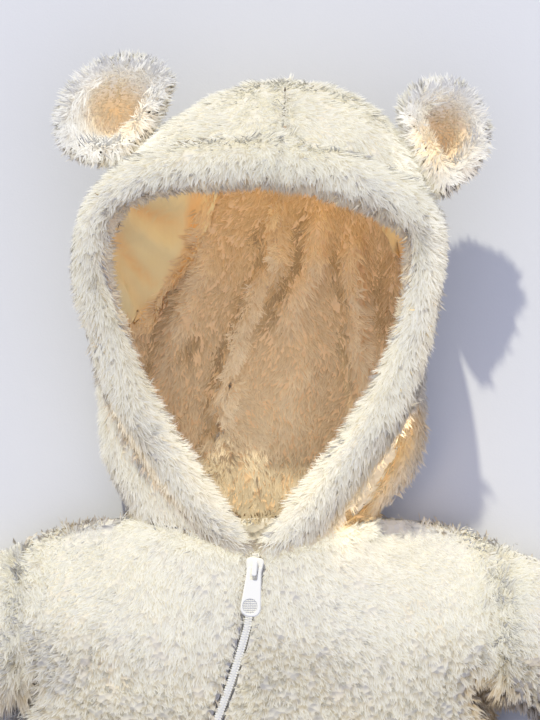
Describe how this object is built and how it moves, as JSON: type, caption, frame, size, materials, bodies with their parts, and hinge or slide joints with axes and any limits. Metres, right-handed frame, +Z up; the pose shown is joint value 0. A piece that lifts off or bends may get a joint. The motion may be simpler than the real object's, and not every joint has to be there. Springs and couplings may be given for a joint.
{
  "type": "hooded plush baby bodysuit",
  "caption": "Long plush one-piece for a baby, laid face up with its eared hood standing open and a curved zip closed up to the neck.",
  "frame": {"origin": "on the table, under the middle of the garment's box", "axes": "+Y towards the hood's crown, +Z up off the table, +X towards the wearer's left"},
  "size_m": [0.5898, 0.7766, 0.1133],
  "materials": {
    "plush": "cream long-pile plush",
    "facing": "smooth brushed jersey",
    "tape": "woven off-white tape",
    "plastic": "glossy white"
  },
  "bodies": {
    "garment": {"hood_left": "plush", "hood_right": "plush", "hood_band_left": "plush", "hood_band_right": "plush", "hood_facing_left": "facing", "hood_facing_right": "facing", "ear_left_outer": "plush", "ear_left_inner": "plush", "ear_right_outer": "plush", "ear_right_inner": "plush", "front_left": "plush", "front_right": "plush", "back_left": "plush", "back_right": "plush", "sleeve_left": "plush", "sleeve_right": "plush", "zip_tape_left": "tape", "zip_tape_right": "tape", "zip_chain": "plastic", "zip_slider": "plastic"},
    "pull": {"zip_pull": "plastic"}
  },
  "joints": [
    {"name": "pull_hinge", "type": "hinge", "parent": "garment", "child": "pull", "pos_m": [-0.00307, 0.10466, 0.05856], "axis": [-0.9954, 0.0962, 0], "range_deg": [0, 140]}
  ]
}
